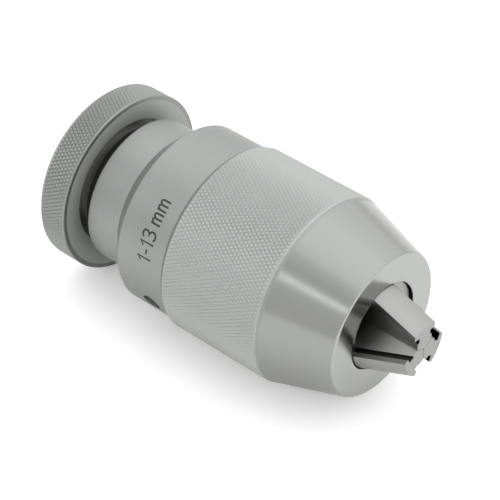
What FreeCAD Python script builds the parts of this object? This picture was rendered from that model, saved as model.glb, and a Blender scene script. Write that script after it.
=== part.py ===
# Keyless drill chuck, 1 to 13 mm, with a short-taper socket.
# The chuck's axis is X.  The rear face, where the arbor goes in, is at x = 0 and the
# jaws point along +X.  Lengths are in millimetres and the jaws are closed.
import FreeCAD, Part
import math
import os

# Driving dimensions: outside
RING_RADIUS = 24.1          # knurled rear ring
RING_LENGTH = 9.26
DISH_RADIUS = 17.2
NECK_RADIUS = 19.3          # neck, shoulder and band of the rear sleeve
NECK_START = 12.8
SHOULDER_START = 23.1
BAND_START = 27.8
BAND_RADIUS = 24.0
SEAM = 42.3                 # joint between rear sleeve and hood
GRIP_RADIUS = 25.0          # knurled grip of the hood
CONE_START = 71.5
NOSE = 91.1                 # flat front face of the hood
NOSE_RADIUS = 19.0
NOSE_BORE = 11.5
JAW_TIP = 103.3

# Driving dimensions: taper socket
SOCKET_MOUTH_RADIUS = 7.925
SOCKET_GAUGE_RADIUS = 7.1185
SOCKET_GAUGE_DEPTH = 25.4
SOCKET_DEPTH = 26.0

# Driving dimensions: jaw action
SLOPE = math.radians(20.0)  # slope of the jaw backs and of the hood's inner cone
JAW_COUNT = 3
GRIP_TRAVEL = 6.5           # each jaw's radial travel, fully closed to fully open
FEED_TRAVEL = GRIP_TRAVEL / math.tan(SLOPE)
THREAD_PITCH = 4.0          # left-hand trapezoidal feed thread
THREAD_PITCH_RADIUS = 8.0
THREAD_FLANK = math.radians(15.0)
THREAD_CLEARANCE = 0.15     # on each flank

# Driving dimensions: fits
FIT = 0.05                  # radial gap of a fixed joint
RUN = 0.12                  # radial gap of a running or sliding fit

# Chuck body
SPIGOT_RADIUS = 13.0
SPIGOT_LENGTH = 6.5
HUB_RADIUS = 14.0
FLANGE_START = 36.0
FLANGE_END = 41.0
TUBE_RADIUS = 12.5
TUBE_END = 52.2
UNDERCUT_START = 28.0
UNDERCUT_END = 40.0
THREAD_START = 37.0         # where the groove's helix starts, inside the undercut
THREAD_MINOR = 7.05
THREAD_MAJOR = 9.25
UNDERCUT_RADIUS = 9.5
DISC_SEAT_RADIUS = 7.05     # seat of the dust disc, and the hole behind it
DISC_HOLE_RADIUS = 6.6
DISC_THICKNESS = 1.0
RING_PIN_LENGTH = 6.0
PIN_RADIUS = 1.5

# Rear sleeve and hood, inside
SEAL_START = 9.4
SEAL_END = 11.6
SEAL_RADIUS = 16.4
BUSH_START = 16.6
BUSH_END = 26.0
BUSH_RADIUS = 16.5
RACE_SEAT = 28.0
SLEEVE_BORE = 21.0
SPIGOT_END = 50.0
SPANNER_HOLE_X = 36.8       # blind hole in the band for a hook spanner
SPANNER_HOLE_ANGLE = 114
SPANNER_HOLE_RADIUS = 2.5
SPANNER_HOLE_DEPTH = 2.2
JOINT_RADIUS = 22.4
HOOD_BORE = 22.0
CONE_MOUTH = NOSE - (HOOD_BORE - NOSE_BORE) / math.tan(SLOPE)
LOCK_START = 42.6           # ring nut that holds the body in the sleeve
LOCK_LENGTH = 4.0
CIRCLIP_START = 54.9
CIRCLIP_INNER = 19.4
CIRCLIP_GROOVE = 1.0

# Thrust bearing
RACE_THICKNESS = 2.2
BALL_RADIUS = 2.4
BALL_COUNT = 16
BALL_PITCH_RADIUS = 17.5
BEARING_MIDDLE = (RACE_SEAT + FLANGE_START) / 2
CAGE_INNER = 14.6
CAGE_OUTER = 20.4

# Jaw guide
GUIDE_START = 56.5
GUIDE_RING_END = 59.3
GUIDE_FACE = 90.2
GUIDE_BORE = 13.5
GUIDE_KEY_LENGTH = 5.0
GUIDE_SHOULDER = 77.7
DRILL_HOLE = 6.75
COUNTERSINK_RADIUS = 9.4    # mouth of the drill hole

# Jaws: across the slide direction
BACK_GAP = 0.3              # jaw back to the hood's cone
BACK_ARC = 11.0
BACK_HALF_WIDTH = 3.75
BACK_DEPTH = 1.8
RELIEF_HALF_WIDTH = 2.0
RELIEF_DEPTH = 3.3
WEB_HALF_WIDTH = 2.6
GRIP_ANGLE = math.radians(60.0)
GRIP_GAP = 0.06
JAW_REAR = 77.5
JAW_REAR_RADIUS = 15.2
TAIL_INNER = 2.2
TAIL_OUTER = 6.3
TAIL_NECK_HALF_WIDTH = 1.8
TAIL_HALF_WIDTH = 3.0

# Feed screw
HEAD_RADIUS = 13.2
HEAD_FRONT = 77.3
HEAD_LIP = 2.2
HEAD_CAVITY = 2.4
HEAD_BASE = 2.4
HEAD_REAR = HEAD_FRONT - HEAD_LIP - HEAD_CAVITY - HEAD_BASE
SHANK_REAR = UNDERCUT_START + FEED_TRAVEL + 0.4
SHANK_RADIUS = 8.95
SHANK_ROOT = 6.75

CENTRE = FreeCAD.Vector(0, 0, 0)
AXIS = FreeCAD.Vector(1, 0, 0)
LONG = 60.0                 # longer than any cut that has to run right through


def point(x, r):
    return FreeCAD.Vector(x, 0, r)


def corner_arc(before, corner, after, radius):
    # the arc of this radius that touches both lines at a corner
    to_before = (before - corner).normalize()
    to_after = (after - corner).normalize()
    half = to_before.getAngle(to_after) / 2
    inset = radius / math.tan(half)
    start = corner + to_before * inset
    end = corner + to_after * inset
    bisector = (to_before + to_after).normalize()
    middle = corner + bisector * (radius / math.sin(half) - radius)
    return start, middle, end


def outline(points):
    # closed flat face from (x, r) corners; a third number rounds that corner
    corners = [point(p[0], p[1]) for p in points]
    starts = []
    ends = []
    arcs = []
    for i, corner in enumerate(corners):
        radius = points[i][2] if len(points[i]) > 2 else 0
        if radius:
            after = corners[(i + 1) % len(corners)]
            start, middle, end = corner_arc(corners[i - 1], corner, after, radius)
            arcs.append(Part.Arc(start, middle, end).toShape())
        else:
            start = end = corner
            arcs.append(None)
        starts.append(start)
        ends.append(end)
    edges = []
    for i, arc in enumerate(arcs):
        if arc:
            edges.append(arc)
        edges.append(Part.LineSegment(ends[i], starts[(i + 1) % len(points)]).toShape())
    return Part.Face(Part.Wire(edges))


def turned(points):
    # solid of revolution about the chuck's axis
    return outline(points).revolve(CENTRE, AXIS, 360)


def tube(x1, x2, inner, outer, chamfer=0.0):
    # plain ring or disc, with its outer edges chamfered
    points = [(x1, inner), (x2, inner), (x2, outer - chamfer)]
    if chamfer:
        points.append((x2 - chamfer, outer))
        points.append((x1 + chamfer, outer))
    points.append((x1, outer - chamfer))
    return turned(points)


def rod(x1, x2, radius, y=0.0, z=0.0):
    return Part.makeCylinder(radius, x2 - x1, FreeCAD.Vector(x1, y, z), AXIS)


def block(x1, x2, half_width, z1, z2):
    size = (x2 - x1, 2 * half_width, z2 - z1)
    return Part.makeBox(*size, FreeCAD.Vector(x1, -half_width, z1))


def around(shape, angle):
    # copy of a shape turned about the chuck's axis
    copy = shape.copy()
    copy.rotate(CENTRE, AXIS, angle)
    return copy


def spread(shape, count, first=0.0):
    return [around(shape, first + 360 * i / count) for i in range(count)]


def one_solid(shape):
    # the single solid of a cut or joined shape
    shape = shape.removeSplitter()
    if len(shape.Solids) != 1 or not shape.isValid():
        raise ValueError("expected one valid solid, found %d" % len(shape.Solids))
    return shape.Solids[0]


def thread_groove(start, end, root, mouth, width):
    # left-hand helical groove; width is its width at the pitch radius
    helix = Part.makeLongHelix(THREAD_PITCH, end - start, THREAD_PITCH_RADIUS, 0, True)
    half = {}
    for r in (root, mouth):
        depth = abs(r - THREAD_PITCH_RADIUS) * math.tan(THREAD_FLANK)
        half[r] = width / 2 + (depth if r == mouth else -depth)
    corners = [(root, -half[root]), (mouth, -half[mouth]), (mouth, half[mouth]), (root, half[root])]
    vectors = [FreeCAD.Vector(r, 0, z) for r, z in corners]
    profile = Part.makePolygon(vectors + vectors[:1])
    groove = Part.Wire(helix.Edges).makePipeShell([profile], True, True)
    groove.rotate(CENTRE, FreeCAD.Vector(0, 1, 0), 90)
    groove.translate(FreeCAD.Vector(start, 0, 0))
    return groove


# The jaws slide outwards and backwards along a line at SLOPE to the axis.  Shapes across
# that line are drawn at the jaw's crown line where it crosses the nose plane.
CROWN_POINT = FreeCAD.Vector(NOSE, 0, NOSE_BORE - BACK_GAP)
SLIDE = FreeCAD.Vector(-math.cos(SLOPE), 0, math.sin(SLOPE))
OUTWARD = FreeCAD.Vector(math.sin(SLOPE), 0, math.cos(SLOPE))
SIDEWAYS = FreeCAD.Vector(0, 1, 0)


def slide_prism(half_width, low, high):
    # block along the slide line, between two heights from the crown line
    corners = []
    for side, height in ((-1, low), (1, low), (1, high), (-1, high)):
        place = CROWN_POINT + SIDEWAYS * (side * half_width) + OUTWARD * height
        corners.append(place - SLIDE * LONG)
    face = Part.Face(Part.makePolygon(corners + corners[:1]))
    return face.extrude(SLIDE * (2 * LONG))


def jaw():
    # one jaw, above the axis: rounded back, relief grooves, web and two gripping faces
    back = slide_prism(BACK_HALF_WIDTH, -BACK_DEPTH, 0)
    arc_start = CROWN_POINT - OUTWARD * BACK_ARC - SLIDE * LONG
    back = back.common(Part.makeCylinder(BACK_ARC, 2 * LONG, arc_start, SLIDE))
    relief = slide_prism(RELIEF_HALF_WIDTH, -RELIEF_DEPTH, -BACK_DEPTH)
    web = slide_prism(WEB_HALF_WIDTH, -LONG, -RELIEF_DEPTH)
    body = back.fuse([relief, web])
    reach = JAW_REAR_RADIUS
    edge = GRIP_GAP + reach / math.tan(GRIP_ANGLE)
    wedge = [(0, GRIP_GAP), (reach, edge), (reach, 2 * reach), (-reach, 2 * reach), (-reach, edge)]
    vectors = [FreeCAD.Vector(JAW_REAR, y, z) for y, z in wedge]
    grip = Part.Face(Part.makePolygon(vectors + vectors[:1]))
    body = body.common(grip.extrude(AXIS * (JAW_TIP - JAW_REAR)))
    body = body.common(rod(JAW_REAR, JAW_TIP, JAW_REAR_RADIUS))
    lip = HEAD_FRONT - HEAD_LIP
    neck = block(lip - RUN, JAW_REAR, TAIL_NECK_HALF_WIDTH, TAIL_INNER, TAIL_OUTER)
    tail = block(HEAD_REAR + HEAD_BASE + RUN, lip - RUN, TAIL_HALF_WIDTH, TAIL_INNER, TAIL_OUTER)
    return one_solid(body.fuse([neck, tail]))


def cone_radius(x):
    # radius of the hood's inner cone
    return NOSE_BORE + (NOSE - x) * math.tan(SLOPE)


def jaw_guide():
    # slotted cone that carries the jaws; its three fingers join in a ring at the rear
    cone = turned([
        (GUIDE_START, GUIDE_BORE),
        (GUIDE_SHOULDER, GUIDE_BORE),
        (GUIDE_SHOULDER, DRILL_HOLE),
        (GUIDE_FACE - (COUNTERSINK_RADIUS - DRILL_HOLE), DRILL_HOLE),
        (GUIDE_FACE, COUNTERSINK_RADIUS),
        (GUIDE_FACE, cone_radius(GUIDE_FACE) - 0.5),
        (GUIDE_FACE - 0.6, cone_radius(GUIDE_FACE - 0.6) - FIT),
        (CONE_MOUTH, HOOD_BORE - FIT),
        (GUIDE_START, HOOD_BORE - FIT),
    ])
    wide = slide_prism(BACK_HALF_WIDTH + RUN, -BACK_DEPTH - RUN, LONG)
    narrow = slide_prism(WEB_HALF_WIDTH + RUN, -LONG, 0)
    upper = block(GUIDE_RING_END, NOSE, LONG, 0, LONG)
    slot = wide.fuse(narrow).common(upper)
    return one_solid(cone.cut(spread(slot, JAW_COUNT) + key_pins()))


def key_pins(gap=0.0):
    # keys that stop the guide turning in the hood, on the joint between the two
    pin = rod(GUIDE_START, GUIDE_START + GUIDE_KEY_LENGTH, PIN_RADIUS - gap, 0, HOOD_BORE)
    return spread(pin, JAW_COUNT, 180 / JAW_COUNT)


def guide_keys():
    return Part.makeCompound(key_pins(FIT))


def guide_ring():
    # internal circlip that holds the guide in the hood, open over 30 degrees
    outer = HOOD_BORE + CIRCLIP_GROOVE - FIT
    ring = tube(CIRCLIP_START, GUIDE_START, CIRCLIP_INNER, outer)
    gap = block(CIRCLIP_START - 1, GUIDE_START + 1, 5.0, CIRCLIP_INNER - 2, outer + 1)
    return one_solid(ring.cut(around(gap, 180)))


def feed_screw():
    # left-hand screw whose head carries the jaw tails in three radial T-slots
    screw = turned([
        (SHANK_REAR, 0),
        (HEAD_FRONT, 0),
        (HEAD_FRONT, HEAD_RADIUS - 0.4),
        (HEAD_FRONT - 0.4, HEAD_RADIUS),
        (HEAD_REAR, HEAD_RADIUS),
        (HEAD_REAR, SHANK_ROOT - 0.1, 1.0),
        (HEAD_REAR - THREAD_PITCH - 0.5, SHANK_ROOT - 0.1),
        (HEAD_REAR - THREAD_PITCH - 2.0, SHANK_RADIUS),
        (SHANK_REAR + 1.5, SHANK_RADIUS),
        (SHANK_REAR, SHANK_RADIUS - 1.5),
    ])
    lip = HEAD_FRONT - HEAD_LIP
    base = HEAD_REAR + HEAD_BASE
    inner = TAIL_INNER - 0.3
    mouth = block(lip - 1, HEAD_FRONT + 1, TAIL_NECK_HALF_WIDTH + RUN, inner, LONG)
    cavity = block(base, lip, TAIL_HALF_WIDTH + RUN, inner, LONG)
    slot = mouth.fuse(cavity)
    centre_hole = rod(HEAD_REAR - 4, HEAD_FRONT + 1, 2.0)
    groove = thread_groove(
        THREAD_START + 1.5 * THREAD_PITCH,
        HEAD_REAR - 2.0,
        SHANK_ROOT,
        SHANK_RADIUS + 0.2,
        THREAD_PITCH / 2 + 2 * THREAD_CLEARANCE,
    )
    return one_solid(screw.cut(spread(slot, JAW_COUNT) + [centre_hole, groove]))


def chuck_body():
    # core that takes the arbor at the rear and carries the feed thread at the front
    core = turned([
        (0, SOCKET_MOUTH_RADIUS + 0.5),
        (0, SPIGOT_RADIUS - 0.4),
        (0.4, SPIGOT_RADIUS),
        (SPIGOT_LENGTH, SPIGOT_RADIUS),
        (SPIGOT_LENGTH, HUB_RADIUS),
        (FLANGE_START, HUB_RADIUS),
        (FLANGE_START, SLEEVE_BORE - RUN),
        (FLANGE_END, SLEEVE_BORE - RUN),
        (FLANGE_END, TUBE_RADIUS, 1.0),
        (TUBE_END - 0.5, TUBE_RADIUS),
        (TUBE_END, TUBE_RADIUS - 0.5),
        (TUBE_END, THREAD_MINOR),
        (UNDERCUT_END, THREAD_MINOR),
        (UNDERCUT_END, UNDERCUT_RADIUS),
        (UNDERCUT_START, UNDERCUT_RADIUS),
        (UNDERCUT_START, DISC_HOLE_RADIUS),
        (SOCKET_DEPTH + DISC_THICKNESS, DISC_HOLE_RADIUS),
        (SOCKET_DEPTH + DISC_THICKNESS, DISC_SEAT_RADIUS),
        (SOCKET_DEPTH, DISC_SEAT_RADIUS),
        (SOCKET_DEPTH, socket_radius(SOCKET_DEPTH)),
        (0.5, socket_radius(0.5)),
    ])
    groove = thread_groove(
        THREAD_START,
        TUBE_END + 3,
        THREAD_MAJOR,
        THREAD_MINOR - 0.2,
        THREAD_PITCH / 2,
    )
    return one_solid(core.cut([groove] + ring_pin_holes()))


def socket_radius(x):
    slope = (SOCKET_MOUTH_RADIUS - SOCKET_GAUGE_RADIUS) / SOCKET_GAUGE_DEPTH
    return SOCKET_MOUTH_RADIUS - x * slope


def ring_pin_holes(gap=0.0):
    # pins on the joint between the ring and the body, which lock the two together
    pin = rod(0, RING_PIN_LENGTH, PIN_RADIUS - gap, 0, SPIGOT_RADIUS)
    return spread(pin, 3, 60)


def ring_pins():
    return Part.makeCompound(ring_pin_holes(FIT))


def socket_disc():
    # dust disc that closes the bottom of the taper socket
    return tube(SOCKET_DEPTH, SOCKET_DEPTH + DISC_THICKNESS, 0, DISC_SEAT_RADIUS - FIT)


def rear_ring():
    # ring held still by hand while the sleeve is turned; its front face is dished
    bore = SPIGOT_RADIUS + FIT
    ring = turned([
        (0, bore),
        (0, RING_RADIUS - 1.5),
        (1.5, RING_RADIUS),
        (RING_LENGTH, RING_RADIUS, 0.5),
        (RING_LENGTH, RING_RADIUS - 1.2, 0.3),
        (8.2, DISH_RADIUS, 0.4),
        (SPIGOT_LENGTH, DISH_RADIUS - 0.4),
        (SPIGOT_LENGTH, bore),
    ])
    return one_solid(ring.cut(ring_pin_holes()))


def front_race():
    # thrust race against the body's flange, with the ball track in its rear face
    start = FLANGE_START - RACE_THICKNESS
    race = tube(start, FLANGE_START, HUB_RADIUS + FIT, SLEEVE_BORE - 0.4, 0.3)
    return one_solid(race.cut(ball_track()))


def rear_race():
    # thrust race in the rear sleeve, with the ball track in its front face
    race = tube(RACE_SEAT, RACE_SEAT + RACE_THICKNESS, HUB_RADIUS + 0.4, SLEEVE_BORE - FIT, 0.3)
    return one_solid(race.cut(ball_track()))


def ball_track():
    middle = FreeCAD.Vector(BEARING_MIDDLE, 0, 0)
    return Part.makeTorus(BALL_PITCH_RADIUS, BALL_RADIUS + 0.1, middle, AXIS)


def bearing_balls():
    ball = Part.makeSphere(BALL_RADIUS, FreeCAD.Vector(BEARING_MIDDLE, 0, BALL_PITCH_RADIUS))
    return Part.makeCompound(spread(ball, BALL_COUNT))


def ball_cage():
    cage = tube(BEARING_MIDDLE - 0.9, BEARING_MIDDLE + 0.9, CAGE_INNER, CAGE_OUTER, 0.2)
    pocket = rod(BEARING_MIDDLE - 2, BEARING_MIDDLE + 2, BALL_RADIUS + RUN, 0, BALL_PITCH_RADIUS)
    return one_solid(cage.cut(spread(pocket, BALL_COUNT)))


def rear_sleeve():
    # neck, shoulder and smooth band; it turns on the body's hub and carries the hood
    lip = HUB_RADIUS + 0.5
    sleeve = turned([
        (NECK_START, lip),
        (NECK_START, NECK_RADIUS, 0.6),
        (SHOULDER_START, NECK_RADIUS),
        (BAND_START, BAND_RADIUS, 0.5),
        (SEAM - 0.3, BAND_RADIUS),
        (SEAM, BAND_RADIUS - 0.3),
        (SEAM, JOINT_RADIUS - FIT),
        (SPIGOT_END - 0.5, JOINT_RADIUS - FIT),
        (SPIGOT_END, JOINT_RADIUS - 0.5),
        (SPIGOT_END, SLEEVE_BORE),
        (RACE_SEAT, SLEEVE_BORE),
        (RACE_SEAT, BUSH_RADIUS),
        (BUSH_START, BUSH_RADIUS),
        (BUSH_START, lip),
    ])
    return one_solid(sleeve.cut(spanner_hole()))


def spanner_hole():
    bottom = FreeCAD.Vector(SPANNER_HOLE_X, 0, BAND_RADIUS - SPANNER_HOLE_DEPTH)
    upright = FreeCAD.Vector(0, 0, 1)
    hole = Part.makeCylinder(SPANNER_HOLE_RADIUS, SPANNER_HOLE_DEPTH + 1, bottom, upright)
    return around(hole, SPANNER_HOLE_ANGLE)


def hub_seal():
    # rubber ring on the hub, whose lip keeps chips out of the gap behind the neck
    lip = NECK_START - RUN
    return one_solid(turned([
        (SEAL_START, HUB_RADIUS + FIT),
        (SEAL_END, HUB_RADIUS + FIT),
        (SEAL_END, SEAL_RADIUS - 1.4),
        (lip, SEAL_RADIUS + 0.8),
        (lip - 0.5, SEAL_RADIUS + 1.1),
        (SEAL_START + 0.8, SEAL_RADIUS),
        (SEAL_START, SEAL_RADIUS - 0.5),
    ]))


def hub_bush():
    return tube(BUSH_START, BUSH_END, HUB_RADIUS + RUN, BUSH_RADIUS - FIT, 0.3)


def disc_spring():
    # conical spring washer that takes the end play out of the thrust bearing
    rear = FLANGE_END + 0.1
    front = LOCK_START
    return turned([(rear, 20.4), (rear + 0.6, 20.4), (front, 14.6), (front - 0.6, 14.6)])


def lock_ring():
    # ring nut in the rear sleeve that keeps the body's flange in place
    end = LOCK_START + LOCK_LENGTH
    ring = tube(LOCK_START, end, TUBE_RADIUS + 1.5, SLEEVE_BORE - FIT, 0.4)
    notch = block(end - 1.6, end + 1, 1.5, SLEEVE_BORE - 2.5, SLEEVE_BORE + 1)
    return one_solid(ring.cut(spread(notch, 4)))


def hood():
    # knurled front sleeve with the nose cone; its inner cone drives the jaws inwards
    body = turned([
        (SEAM, JOINT_RADIUS),
        (SEAM, BAND_RADIUS - 0.2),
        (SEAM + 0.9, GRIP_RADIUS),
        (CONE_START, GRIP_RADIUS, 1.0),
        (NOSE, NOSE_RADIUS, 0.9),
        (NOSE, NOSE_BORE + 0.2),
        (NOSE - 0.15, cone_radius(NOSE - 0.15)),
        (CONE_MOUTH, HOOD_BORE),
        (GUIDE_START, HOOD_BORE),
        (GUIDE_START, HOOD_BORE + CIRCLIP_GROOVE),
        (CIRCLIP_START, HOOD_BORE + CIRCLIP_GROOVE),
        (CIRCLIP_START, HOOD_BORE),
        (SPIGOT_END, HOOD_BORE),
        (SPIGOT_END, JOINT_RADIUS),
    ])
    return one_solid(body.cut(key_pins()))


def export(name, shape):
    shape.exportStep(os.path.join("parts", name + ".step"))
    print("%-16s %2d solid(s) %10.1f mm3" % (name, len(shape.Solids), shape.Volume))


def main():
    os.makedirs("parts", exist_ok=True)
    makers = [
        chuck_body, rear_ring, ring_pins, socket_disc, front_race,
        ball_cage, bearing_balls,
        rear_sleeve, hub_seal, hub_bush, rear_race, disc_spring, lock_ring,
        hood, jaw_guide, guide_keys, guide_ring, feed_screw,
    ]
    for maker in makers:
        export(maker.__name__, maker())
    for number, shape in enumerate(spread(jaw(), JAW_COUNT), start=1):
        export("jaw_%d" % number, shape)


main()
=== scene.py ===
import math
import bmesh
import bpy
import numpy as np
from mathutils import Matrix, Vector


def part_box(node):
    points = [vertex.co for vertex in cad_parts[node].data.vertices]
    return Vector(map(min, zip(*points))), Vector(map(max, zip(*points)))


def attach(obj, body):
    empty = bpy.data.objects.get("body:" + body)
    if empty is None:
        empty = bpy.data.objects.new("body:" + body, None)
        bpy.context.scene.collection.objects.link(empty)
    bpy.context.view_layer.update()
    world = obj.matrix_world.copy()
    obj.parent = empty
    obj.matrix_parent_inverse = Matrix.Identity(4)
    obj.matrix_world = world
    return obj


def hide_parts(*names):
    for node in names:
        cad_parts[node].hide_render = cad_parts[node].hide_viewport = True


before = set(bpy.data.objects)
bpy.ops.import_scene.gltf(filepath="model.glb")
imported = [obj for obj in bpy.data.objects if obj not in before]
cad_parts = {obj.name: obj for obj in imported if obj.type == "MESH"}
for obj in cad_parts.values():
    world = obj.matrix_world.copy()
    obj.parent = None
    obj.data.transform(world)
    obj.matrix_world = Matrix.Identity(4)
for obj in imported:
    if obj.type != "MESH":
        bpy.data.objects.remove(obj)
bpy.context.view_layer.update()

mm = 0.001  # the tables below are in millimetres


def feed(tree, socket, value):
    # an input takes either a link from another node or a plain value
    if isinstance(value, bpy.types.NodeSocket):
        tree.links.new(value, socket)
    else:
        socket.default_value = value


def addNode(tree, kind, **values):
    # new shader node; each value goes to the input of that name, or else sets a property
    node = tree.nodes.new(kind)
    for name, value in values.items():
        if name in node.inputs:
            feed(tree, node.inputs[name], value)
        else:
            setattr(node, name, value)
    return node


def mathNode(tree, operation, *operands):
    node = addNode(tree, "ShaderNodeMath", operation=operation)
    for socket, value in zip(node.inputs, operands):
        feed(tree, socket, value)
    return node.outputs[0]


def vectorNode(tree, operation, *operands):
    node = addNode(tree, "ShaderNodeVectorMath", operation=operation)
    for socket, value in zip(node.inputs, operands):
        feed(tree, socket, value)
    return node.outputs["Value" if operation in ("DOT_PRODUCT", "LENGTH") else "Vector"]


def splitAxes(tree, vector):
    return addNode(tree, "ShaderNodeSeparateXYZ", Vector=vector).outputs


def mapRange(tree, value, low, high, start=0.0, end=1.0):
    # carries start..end over to low..high
    node = addNode(tree, "ShaderNodeMapRange", Value=value)
    for name, number in (("From Min", start), ("From Max", end), ("To Min", low), ("To Max", high)):
        node.inputs[name].default_value = number
    return node.outputs["Result"]


def mixTone(tree, factor, first, second):
    node = addNode(tree, "ShaderNodeMixRGB", blend_type="MIX", Fac=factor, Color1=first, Color2=second)
    return node.outputs["Color"]


# the camera and the lights are placed in metres and degrees
viewSet = {"azimuth": 41.1, "elevation": 40.61, "distance": 0.526, "lens": 153.6, "sensor": 36,
           "clip": 0.01, "aim": (0.0479, 0.0020, -0.0021)}


def makeCamera():
    # camera on a sphere round the aim point, level, looking at it
    az = math.radians(viewSet["azimuth"])
    el = math.radians(viewSet["elevation"])
    back = np.array([math.sin(az) * math.cos(el), -math.cos(az) * math.cos(el), math.sin(el)])
    right = np.array([math.cos(az), math.sin(az), 0.0])
    up = np.cross(back, right)
    data = bpy.data.cameras.new("viewCamera")
    data.lens = viewSet["lens"]
    data.sensor_width = viewSet["sensor"]
    data.clip_start = viewSet["clip"]
    camera = bpy.data.objects.new("viewCamera", data)
    bpy.context.scene.collection.objects.link(camera)
    place = np.array(viewSet["aim"]) + back * viewSet["distance"]
    columns = np.column_stack([right, up, back, place])
    camera.matrix_world = Matrix([*columns.tolist(), [0, 0, 0, 1]])
    bpy.context.scene.camera = camera


# each panel has its name, place, size and power; the tent has its brightness at angles
# round the X axis, with one narrow bright seam between darker walls
lightSet = {"world": 2.15, "floorLevel": -0.025, "floorSize": 6.0, "floorTone": 0.95, "floorRough": 0.9,
            "floorGlow": 0.22,
            "panels": [("topPanel", (0.15, 0.55, 0.95), 2.4, 3.8)],
            "tent": [(-180, 0.45), (-90, 0.50), (-60, 0.57), (-30, 0.66), (0, 0.63), (22, 0.52),
                     (37, 0.41), (43, 0.39), (46, 1.05), (49, 1.05), (53, 0.46), (80, 0.43), (180, 0.42)]}


def addPanel(name, place, size, power):
    # square area light that faces the chuck
    data = bpy.data.lights.new(name, "AREA")
    data.shape = "SQUARE"
    data.size = size
    data.energy = power
    lamp = bpy.data.objects.new(name, data)
    bpy.context.scene.collection.objects.link(lamp)
    back = np.array(place) - np.array(viewSet["aim"])
    back = back / np.linalg.norm(back)
    side = np.cross([0.0, 1.0, 0.01], back)  # the lamp's roll is free
    side = side / np.linalg.norm(side)
    columns = np.column_stack([side, np.cross(back, side), back, place])
    lamp.matrix_world = Matrix([*columns.tolist(), [0, 0, 0, 1]])


def tentColour(tree):
    # angle = atan2(-y, z), which is 0 straight up and grows towards the viewer's side
    place = addNode(tree, "ShaderNodeTexCoord").outputs["Generated"]
    axes = splitAxes(tree, place)
    turn = mathNode(tree, "ARCTAN2", mathNode(tree, "MULTIPLY", axes["Y"], -1), axes["Z"])
    share = mathNode(tree, "MULTIPLY_ADD", turn, 0.5 / math.pi, 0.5)
    ramp = addNode(tree, "ShaderNodeValToRGB", Fac=share)
    stops = ramp.color_ramp.elements
    tent = lightSet["tent"]
    for angle, level in tent[1:-1]:
        stops.new(angle / 360 + 0.5).color = (level, level, level, 1)
    for end in (0, -1):
        level = tent[end][1]
        stops[end].color = (level, level, level, 1)
    return ramp.outputs["Color"]


def makeFloor():
    half = lightSet["floorSize"] / 2
    level = lightSet["floorLevel"]
    tone = lightSet["floorTone"]
    corners = [(-half, -half, level), (half, -half, level), (half, half, level), (-half, half, level)]
    mesh = bpy.data.meshes.new("floor")
    mesh.from_pydata(corners, [], [(0, 1, 2, 3)])
    floor = bpy.data.objects.new("floor", mesh)
    bpy.context.scene.collection.objects.link(floor)
    material = bpy.data.materials.new("paleFloor")
    material.use_nodes = True
    tree = material.node_tree
    shader = tree.nodes["Principled BSDF"]
    shader.inputs["Base Color"].default_value = (tone, tone, tone, 1)
    shader.inputs["Roughness"].default_value = lightSet["floorRough"]
    shader.inputs["Specular IOR Level"].default_value = 0.0
    # lifts the shadow for the camera alone, so that the floor stays pale close to the chuck
    seen = addNode(tree, "ShaderNodeLightPath").outputs["Is Camera Ray"]
    shader.inputs["Emission Color"].default_value = (1, 1, 1, 1)
    feed(tree, shader.inputs["Emission Strength"], mathNode(tree, "MULTIPLY", seen, lightSet["floorGlow"]))
    mesh.materials.append(material)


def makeStudio():
    # pale floor under the chuck, a soft panel and a light tent all round
    makeFloor()
    world = bpy.data.worlds.new("studioSky")
    world.use_nodes = True
    tree = world.node_tree
    sky = tree.nodes["Background"]
    sky.inputs["Strength"].default_value = lightSet["world"]
    feed(tree, sky.inputs["Color"], tentColour(tree))
    bpy.context.scene.world = world
    for name, place, size, power in lightSet["panels"]:
        addPanel(name, place, size, power)
    bpy.context.scene.view_settings.view_transform = "Standard"


makeCamera()
makeStudio()
print("camera and studio ready")


# a knurl's diamond is perDiamond cells wide and long; support points close to a bend hold
# the shading of flat faces
gridSet = {"filletSteps": 5, "support": 0.12, "perDiamond": 4, "rowGap": 0.05, "sharpAngle": 28,
           "shortSide": 4}


def roundedProfile(corners):
    # polyline through (x, r) corners; a third number is the corner's fillet radius, drawn
    # as an arc tangent to both sides. For half the corner's angle h, the arc's centre is
    # radius / sin(h) along the bisector and its ends are radius / tan(h) along the sides
    steps = gridSet["filletSteps"]
    inset = gridSet["support"]
    spans = []
    count = len(corners)
    for i in range(count):
        here = np.array(corners[i][:2], float)
        before = np.array(corners[i - 1][:2], float) - here
        after = np.array(corners[(i + 1) % count][:2], float) - here
        radius = corners[i][2] if len(corners[i]) > 2 else 0.0
        before = before / np.linalg.norm(before)
        after = after / np.linalg.norm(after)
        if radius == 0.0:
            spans.append(here[None, :])
            continue
        half = math.acos(float(np.clip(before @ after, -1, 1))) / 2
        bisector = (before + after) / np.linalg.norm(before + after)
        centre = here + bisector * radius / math.sin(half)
        start = here + before * radius / math.tan(half) - centre
        end = here + after * radius / math.tan(half) - centre
        swing = math.atan2(start[0] * end[1] - start[1] * end[0], start @ end)
        turn = np.linspace(0, swing, steps + 1)
        arcX = start[0] * np.cos(turn) - start[1] * np.sin(turn)
        arcR = start[0] * np.sin(turn) + start[1] * np.cos(turn)
        spans.append(centre + np.column_stack([arcX, arcR]))
    rows = []
    for i in range(count):
        rows.append(spans[i])
        start = spans[i][-1]
        end = spans[(i + 1) % count][0]
        length = np.linalg.norm(end - start)
        if length > gridSet["shortSide"] * inset:
            along = (end - start) / length
            rows.append(np.array([start + along * inset, end - along * inset]))
    return np.vstack(rows)


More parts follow.
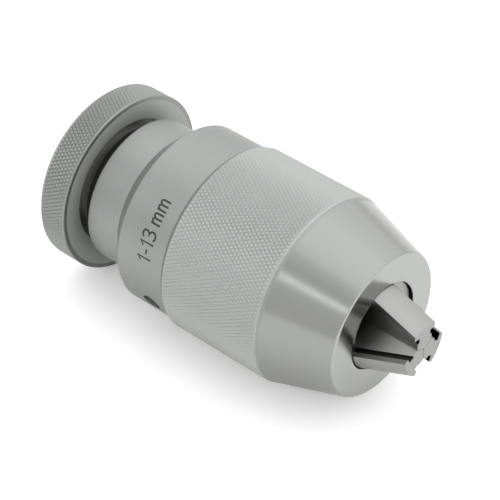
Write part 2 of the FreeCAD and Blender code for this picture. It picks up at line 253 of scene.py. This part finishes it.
def closedGrid(name, points, splits):
    # surface over a grid that closes on itself both ways, with its faces pointing out;
    # splits tells which diagonal cuts each cell into two triangles
    rows, columns = points.shape[:2]
    index = np.arange(rows * columns).reshape(rows, columns)
    a = index
    b = np.roll(index, -1, axis=1)
    d = np.roll(index, -1, axis=0)
    c = np.roll(b, -1, axis=0)
    first = np.where(splits[..., None], np.stack([a, b, d], -1), np.stack([a, b, c], -1))
    second = np.where(splits[..., None], np.stack([b, c, d], -1), np.stack([a, c, d], -1))
    faces = np.concatenate([first.reshape(-1, 3), second.reshape(-1, 3)])
    flat = points.reshape(-1, 3)
    corner = flat[faces]
    volume = np.einsum("ij,ij->i", corner[:, 0], np.cross(corner[:, 1], corner[:, 2])).sum()
    if volume < 0:
        faces = faces[:, ::-1]
    mesh = bpy.data.meshes.new(name)
    mesh.vertices.add(len(flat))
    mesh.vertices.foreach_set("co", (flat * mm).ravel())
    mesh.loops.add(faces.size)
    mesh.loops.foreach_set("vertex_index", faces.ravel())
    mesh.polygons.add(len(faces))
    mesh.polygons.foreach_set("loop_start", np.arange(0, faces.size, 3))
    mesh.update(calc_edges=True)
    mesh.validate()
    mesh.polygons.foreach_set("use_smooth", np.ones(len(mesh.polygons), bool))
    mesh.set_sharp_from_angle(angle=math.radians(gridSet["sharpAngle"]))
    piece = bpy.data.objects.new(name, mesh)
    bpy.context.scene.collection.objects.link(piece)
    return piece


def sweepRound(profile, radii, columns):
    # carries profile rows (x, r) round the chuck's axis; radii may differ at each column
    turn = np.arange(columns) * 2 * math.pi / columns
    x = np.repeat(profile[:, :1], columns, axis=1)
    return np.stack([x, radii * np.cos(turn), radii * np.sin(turn)], axis=-1)


def knurledPiece(name, corners, knurl):
    # a turned piece whose outer cylinder carries a diamond knurl. With u round the piece and
    # v along it, both in diamonds, the valleys lie where u + v or u - v is half way between
    # whole numbers. Height = 1 - 2 * the larger distance to a whole number, cut off at the
    # blunt tips, and the piece's own outline trims what would stand above it
    cells = gridSet["perDiamond"]
    gap = gridSet["rowGap"]
    columns = knurl["around"] * cells
    pitch = 2 * math.pi * knurl["crest"] / knurl["around"] / math.tan(math.radians(knurl["helix"]))
    profile = roundedProfile(corners)
    front = int(np.argmax(profile[:, 0]))
    outer = profile[:front]
    steps = int((knurl["to"] - knurl["from"]) / pitch * cells)
    x = knurl["from"] + np.arange(steps + 1) * pitch / cells
    outline = np.interp(x, outer[:, 0], outer[:, 1])
    before = outer[outer[:, 0] < x[0] - gap]
    after = np.vstack([outer[outer[:, 0] > x[-1] + gap], profile[front:]])
    u = np.arange(columns) / cells
    v = np.arange(steps + 1)[:, None] / cells
    offA = np.abs(u + v - np.round(u + v))
    offB = np.abs(u - v - np.round(u - v))
    height = np.minimum(1 - 2 * np.maximum(offA, offB), knurl["blunt"])
    cut = knurl["crest"] - knurl["depth"] * (knurl["blunt"] - height)
    rows = np.vstack([before, np.column_stack([x, outline]), after])
    radii = np.repeat(rows[:, 1:], columns, axis=1)
    radii[len(before):len(before) + len(x)] = np.minimum(cut, outline[:, None])
    i = np.arange(columns)[None, :]
    j = np.arange(len(rows))[:, None] - len(before)
    return closedGrid(name, sweepRound(rows, radii, columns), (i + j + 1) % cells == cells // 2)


def objectPlace(tree):
    return addNode(tree, "ShaderNodeTexCoord").outputs["Object"]


def noiseNode(tree, vector, scale, detail, rough):
    node = addNode(tree, "ShaderNodeTexNoise", Vector=vector, Scale=scale, Detail=detail, Roughness=rough)
    return node.outputs["Fac"]


# crown is a point (x, r) of a jaw's back; relief tells the heights of its grooves from there. The table
# also sets painted shade: its dark tone, laid in those grooves, and its share on the jaw's sides
jawShadeMask = {"crown": (91.1, 11.2), "slope": 20.0, "side": 3.66, "relief": (-3.35, -1.76), "end": 103.2,
           "paintedShadeTone": 0.02, "flank": 0.62}


def jawPaintedShade(tree, turn):
    # painted shade: 1 in a jaw's relief grooves, less on its flanks and 0 on the ground surfaces; the
    # height is measured square to the sloping back, once the jaw is turned upright
    rotation = (math.radians(turn), 0, 0)
    upright = addNode(tree, "ShaderNodeMapping", Vector=objectPlace(tree), Rotation=rotation).outputs[0]
    axes = splitAxes(tree, upright)
    slope = math.radians(jawShadeMask["slope"])
    normal = (math.sin(slope), 0, math.cos(slope))
    crown = (normal[0] * jawShadeMask["crown"][0] + normal[2] * jawShadeMask["crown"][1]) * mm
    height = vectorNode(tree, "DOT_PRODUCT", upright, normal)
    low, high = [crown + edge * mm for edge in jawShadeMask["relief"]]
    above = mathNode(tree, "GREATER_THAN", height, low)
    below = mathNode(tree, "LESS_THAN", height, high)
    groove = mathNode(tree, "MULTIPLY", above, below)
    side = mathNode(tree, "ABSOLUTE", axes["Y"])
    flank = mathNode(tree, "GREATER_THAN", side, jawShadeMask["side"] * mm)
    either = mathNode(tree, "MAXIMUM", groove, mathNode(tree, "MULTIPLY", flank, jawShadeMask["flank"]))
    behind = mathNode(tree, "LESS_THAN", axes["X"], jawShadeMask["end"] * mm)
    return mathNode(tree, "MULTIPLY", either, behind)


def turnedCoordinates(tree, along, across):
    # coordinates that give rings round the axis on cylinders, cones and end faces alike,
    # with the place along the axis and the radius
    place = objectPlace(tree)
    axes = splitAxes(tree, place)
    radius = vectorNode(tree, "LENGTH", vectorNode(tree, "MULTIPLY", place, (0, 1, 1)))
    turn = mathNode(tree, "ARCTAN2", axes["Y"], axes["Z"])
    joined = addNode(tree, "ShaderNodeCombineXYZ", X=axes["X"], Y=radius, Z=turn).outputs[0]
    return vectorNode(tree, "MULTIPLY", joined, (along, along, across)), axes["X"], radius


def zoneMask(tree, along, radius, zone):
    # 1 within a radius, between two places on the axis
    inside = mathNode(tree, "LESS_THAN", radius, zone["radius"] * mm)
    ahead = mathNode(tree, "GREATER_THAN", along, zone["from"] * mm)
    behind = mathNode(tree, "LESS_THAN", along, zone["to"] * mm)
    return mathNode(tree, "MULTIPLY", mathNode(tree, "MULTIPLY", inside, ahead), behind)


# what a finish takes unless it says otherwise; each noise has its detail and roughness
commonLook = {"metallic": 1.0, "specular": 0.5, "across": 0.8, "cloud": 60.0, "speck": 2600.0,
              "grainNoise": (3.0, 0.6), "cloudNoise": (4.0, 0.55), "speckNoise": (2.0, 0.6),
              "bumpDistance": 0.00003, "polishFade": 0.6}


def metalMaterial(name, ownLook):
    # bare or plated metal: machining rings or grain, faint cloudiness and a fine bump
    look = dict(commonLook, **ownLook)
    material = bpy.data.materials.new(name)
    material.use_nodes = True
    tree = material.node_tree
    shader = tree.nodes["Principled BSDF"]
    shader.inputs["Metallic"].default_value = look["metallic"]
    shader.inputs["Specular IOR Level"].default_value = look["specular"]
    place = objectPlace(tree)
    if "stretch" in look:
        vector = vectorNode(tree, "MULTIPLY", place, look["stretch"])
    else:
        vector, along, radius = turnedCoordinates(tree, look["grain"], look["across"])
    grain = noiseNode(tree, vector, 1.0, *look["grainNoise"])
    cloud = noiseNode(tree, place, look["cloud"], *look["cloudNoise"])
    speck = noiseNode(tree, place, look["speck"], *look["speckNoise"])
    blend = mathNode(tree, "MULTIPLY_ADD", grain, 0.5, mathNode(tree, "MULTIPLY", cloud, 0.5))
    colour = mixTone(tree, blend, (*look["dark"], 1), (*look["light"], 1))
    # painted shade on each jaw's relief grooves and flanks, turned to suit the jaw
    if "jawShadeTurn" in look:
        shade = (jawShadeMask["paintedShadeTone"],) * 3 + (1,)
        colour = mixTone(tree, jawPaintedShade(tree, look["jawShadeTurn"]), colour, shade)
    if "toneAndShadeZone" in look:
        # another tone over part of the piece; in the jaw guide it is painted shade, near black in the bore
        zone = look["toneAndShadeZone"]
        mask = zoneMask(tree, along, radius, zone)
        colour = mixTone(tree, mask, colour, (*zone["colour"], 1))
        feed(tree, shader.inputs["Metallic"], mapRange(tree, mask, 1.0, zone["metallic"]))
    rough = mapRange(tree, blend, *look["rough"])
    if "polishFrom" in look:
        # the nose is polished: its roughness falls past a place along the axis
        start = look["polishFrom"] * mm
        end = (look["polishFrom"] + look["polishFade"]) * mm
        rough = mathNode(tree, "MULTIPLY", rough, mapRange(tree, along, 1.0, look["polish"], start, end))
    bump = addNode(tree, "ShaderNodeBump", Strength=look["bump"], Distance=look["bumpDistance"],
                   Height=mathNode(tree, "ADD", grain, speck))
    feed(tree, shader.inputs["Base Color"], colour)
    feed(tree, shader.inputs["Roughness"], rough)
    feed(tree, shader.inputs["Normal"], bump.outputs["Normal"])
    return material


finishSet = {
    # the hood, whose polished nose cone has its own tone
    "satinChrome": {"dark": (0.375, 0.384, 0.366), "light": (0.459, 0.468, 0.450), "rough": (0.42, 0.52),
                    "grain": 2400.0, "bump": 0.25, "polishFrom": 73.0, "polish": 0.42,
                    "toneAndShadeZone": {"radius": 26.0, "from": 72.6, "to": 90.9, "colour": (0.322, 0.329, 0.316),
                                 "metallic": 1.0}},
    "bandChrome": {"dark": (0.285, 0.293, 0.277), "light": (0.35, 0.359, 0.342), "rough": (0.42, 0.52),
                   "grain": 2400.0, "bump": 0.25},
    # the rear ring, with its blasted dish
    "ringChrome": {"dark": (0.269, 0.277, 0.269), "light": (0.334, 0.342, 0.33), "rough": (0.40, 0.50),
                   "grain": 2400.0, "bump": 0.25,
                   "toneAndShadeZone": {"radius": 22.85, "from": 6.6, "to": 10.0, "colour": (0.448, 0.465, 0.448),
                                "metallic": 0.35}},
    # the jaw guide, with painted shade that makes its bore near black
    "guideSteel": {"dark": (0.293, 0.293, 0.285), "light": (0.375, 0.375, 0.359), "rough": (0.28, 0.40),
                   "grain": 2600.0, "bump": 0.35,
                   "toneAndShadeZone": {"radius": 9.38, "from": 50.0, "to": 90.17, "colour": (0.03, 0.03, 0.03),
                                "metallic": 0.6}},
    "turnedSteel": {"dark": (0.293, 0.293, 0.285), "light": (0.375, 0.375, 0.359), "rough": (0.28, 0.40),
                    "grain": 2600.0, "bump": 0.35},
    "oiledSteel": {"dark": (0.106, 0.106, 0.106), "light": (0.179, 0.179, 0.175), "rough": (0.30, 0.45),
                   "grain": 2200.0, "bump": 0.3},
    "sinteredBronze": {"dark": (0.326, 0.196, 0.0815), "light": (0.473, 0.31, 0.147), "rough": (0.45, 0.60),
                       "grain": 1500.0, "bump": 0.5, "cloud": 300.0},
    "pressedBrass": {"dark": (0.473, 0.342, 0.139), "light": (0.603, 0.473, 0.236), "rough": (0.28, 0.42),
                     "grain": 1800.0, "bump": 0.3},
    "printedInk": {"dark": (0.010, 0.010, 0.010), "light": (0.030, 0.030, 0.030), "rough": (0.45, 0.60),
                   "grain": 1200.0, "bump": 0.2, "metallic": 0.0},
    "blackRubber": {"dark": (0.010, 0.010, 0.010), "light": (0.025, 0.025, 0.025), "rough": (0.60, 0.80),
                    "grain": 900.0, "bump": 0.4, "metallic": 0.0, "specular": 0.15},
}
groundSteel = {"dark": (0.293, 0.293, 0.281), "light": (0.375, 0.375, 0.359), "rough": (0.26, 0.38),
               "stretch": (120.0, 1900.0, 1900.0), "bump": 0.2}
for number in range(3):
    # each jaw is ground on its back, ends and gripping faces, with painted shade darkening its sides and
    # relief grooves
    finishSet["jawSteel%d" % (number + 1)] = dict(groundSteel, jawShadeTurn=-120.0 * number)
finishes = {name: metalMaterial(name, look) for name, look in finishSet.items()}
print("materials ready")


def dress(piece, finish):
    piece.data.materials.clear()
    piece.data.materials.append(finishes[finish])


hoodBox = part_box("hood")
hoodSet = {"seam": hoodBox[0][0] / mm, "nose": hoodBox[1][0] / mm, "grip": 25.0, "coneStart": 71.5,
           "rimRadius": 23.7, "rimLength": 0.9, "noseRadius": 19.0, "noseBore": 11.5, "bevel": (0.15, 0.2),
           "bore": 22.0, "joint": 22.4, "slope": 20.0, "jointEnd": 50.0, "clipStart": 54.9, "clipEnd": 56.5,
           "clipDepth": 1.0,
           "knurl": {"around": 144, "helix": 31.3, "crest": 25.0, "depth": 0.33, "blunt": 0.8,
                     "from": 42.75, "to": 73.2}}


def makeHood():
    # grip and nose cone outside; cone, circlip groove and joint inside
    h = hoodSet
    slope = math.tan(math.radians(h["slope"]))
    mouth = h["nose"] - (h["bore"] - h["noseBore"]) / slope
    groove = h["bore"] + h["clipDepth"]
    bevelLength, bevelRise = h["bevel"]
    corners = [
        (h["seam"], h["joint"], 0.1),
        (h["seam"], h["rimRadius"], 0.15),
        (h["seam"] + h["rimLength"], h["grip"], 0.25),
        (h["coneStart"], h["grip"], 0.5),
        (h["nose"], h["noseRadius"], 0.9),
        (h["nose"], h["noseBore"] + bevelRise, 0.05),
        (h["nose"] - bevelLength, h["noseBore"] + bevelLength * slope, 0.05),
        (mouth, h["bore"], 0.5),
        (h["clipEnd"], h["bore"]),
        (h["clipEnd"], groove),
        (h["clipStart"], groove),
        (h["clipStart"], h["bore"]),
        (h["jointEnd"], h["bore"]),
        (h["jointEnd"], h["joint"]),
    ]
    piece = knurledPiece("knurledHood", corners, h["knurl"])
    dress(piece, "satinChrome")
    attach(piece, "sleeve")
    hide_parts("hood")


makeHood()
print("hood ready")


# plain capacity marking on the band; each glyph is its width and its strokes, in letter heights
markSet = {
    "text": "1-13 mm", "baseline": 38.3, "start": 80.0, "height": 4.0, "stroke": 0.5,
    "band": 24.0, "low": 23.95, "high": 24.012, "mitreLimit": 0.6,
    "glyphs": {
        "1": (0.50, [[(0.06, 0.74), (0.30, 1.0), (0.30, 0.0)]]),
        "3": (0.68, [[(0.08, 0.86), (0.20, 0.97), (0.37, 0.99), (0.52, 0.89), (0.54, 0.70), (0.43, 0.56),
                      (0.26, 0.53), (0.45, 0.50), (0.57, 0.37), (0.57, 0.17), (0.43, 0.03), (0.20, 0.01),
                      (0.05, 0.14)]]),
        "m": (0.90, [[(0.06, 0.0), (0.06, 0.70)],
                     [(0.06, 0.48), (0.16, 0.64), (0.29, 0.67), (0.38, 0.56), (0.38, 0.0)],
                     [(0.38, 0.48), (0.48, 0.64), (0.61, 0.67), (0.70, 0.56), (0.70, 0.0)]]),
        "-": (0.52, [[(0.08, 0.42), (0.40, 0.42)]]),
        " ": (0.36, []),
    },
}


def strokeSections(line, width):
    # two offset points at each bend, mitred: offset = n / (n . m) for side normal n, bisector m
    line = np.array(line, float)
    along = np.diff(line, axis=0)
    along = along / np.linalg.norm(along, axis=1)[:, None]
    normals = np.column_stack([-along[:, 1], along[:, 0]])
    first = np.vstack([normals[:1], normals])
    last = np.vstack([normals, normals[-1:]])
    middle = first + last
    middle = middle / np.linalg.norm(middle, axis=1)[:, None]
    facing = np.maximum(np.sum(middle * last, axis=1), markSet["mitreLimit"])
    reach = width / 2 / facing[:, None]
    return line + middle * reach, line - middle * reach


def makeMarking():
    # every stroke is a thin closed bar, sunk a little into the band and bent round it:
    # the angle round the axis falls by the distance written, divided by the band's radius
    m = markSet
    verts = []
    faces = []
    pen = 0.0
    for letter in m["text"]:
        advance, strokes = m["glyphs"][letter]
        for stroke in strokes:
            left, right = strokeSections(np.array(stroke) * m["height"] + (pen, 0), m["stroke"])
            base = len(verts)
            for a, b in zip(left, right):
                for (u, v), radius in ((a, m["high"]), (b, m["high"]), (b, m["low"]), (a, m["low"])):
                    turn = math.radians(m["start"]) - u / m["band"]
                    place = (m["baseline"] - v, -radius * math.sin(turn), radius * math.cos(turn))
                    verts.append(tuple(value * mm for value in place))
            for i in range(len(left) - 1):
                for k in range(4):
                    n = (k + 1) % 4
                    near = base + 4 * i
                    faces.append((near + k, near + n, near + 4 + n, near + 4 + k))
            faces.append((base, base + 1, base + 2, base + 3))
            far = base + 4 * len(left) - 4
            faces.append((far + 3, far + 2, far + 1, far))
        pen += advance * m["height"]
    mesh = bpy.data.meshes.new("capacityMark")
    mesh.from_pydata(verts, [], faces)
    shape = bmesh.new()
    shape.from_mesh(mesh)
    bmesh.ops.recalc_face_normals(shape, faces=shape.faces)
    shape.to_mesh(mesh)
    shape.free()
    piece = bpy.data.objects.new("capacityMark", mesh)
    bpy.context.scene.collection.objects.link(piece)
    dress(piece, "printedInk")
    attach(piece, "sleeve")


makeMarking()
print("marking ready")


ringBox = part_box("rear_ring")
ringSet = {"back": ringBox[0][0] / mm, "front": ringBox[1][0] / mm, "radius": 24.1, "bore": 13.05,
           "seatEnd": 6.5, "seatInset": 0.4, "chamfer": 1.5, "rim": 1.2, "dish": (8.2, 17.2),
           "knurl": {"around": 138, "helix": 31.3, "crest": 24.1, "depth": 0.40, "blunt": 0.85,
                     "from": 0.6, "to": 8.9}}


def makeRing():
    # flat behind, with a dished front face and a seat on the body
    r = ringSet
    corners = [
        (r["back"], r["bore"], 0.1),
        (r["back"], r["radius"] - r["chamfer"], 0.4),
        (r["back"] + r["chamfer"], r["radius"], 0.3),
        (r["front"], r["radius"], 0.35),
        (r["front"], r["radius"] - r["rim"], 0.3),
        (*r["dish"], 0.4),
        (r["seatEnd"], r["dish"][1] - r["seatInset"], 0.2),
        (r["seatEnd"], r["bore"], 0.1),
    ]
    piece = knurledPiece("knurledRing", corners, r["knurl"])
    dress(piece, "ringChrome")
    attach(piece, "body")
    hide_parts("rear_ring")


makeRing()
print("rear ring ready")


nodeFinish = {
    "chuck_body": "turnedSteel", "ring_pins": "oiledSteel", "socket_disc": "pressedBrass",
    "front_race": "turnedSteel", "ball_cage": "pressedBrass", "bearing_balls": "turnedSteel",
    "hub_seal": "blackRubber", "hub_bush": "sinteredBronze", "rear_race": "turnedSteel",
    "disc_spring": "oiledSteel", "lock_ring": "oiledSteel", "jaw_guide": "guideSteel",
    "guide_keys": "oiledSteel", "guide_ring": "oiledSteel", "feed_screw": "oiledSteel",
    "jaw_1": "jawSteel1", "jaw_2": "jawSteel2", "jaw_3": "jawSteel3",
    "hood": "satinChrome", "rear_sleeve": "bandChrome", "rear_ring": "ringChrome",
}
for node, finish in nodeFinish.items():
    dress(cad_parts[node], finish)
print("all nodes dressed")
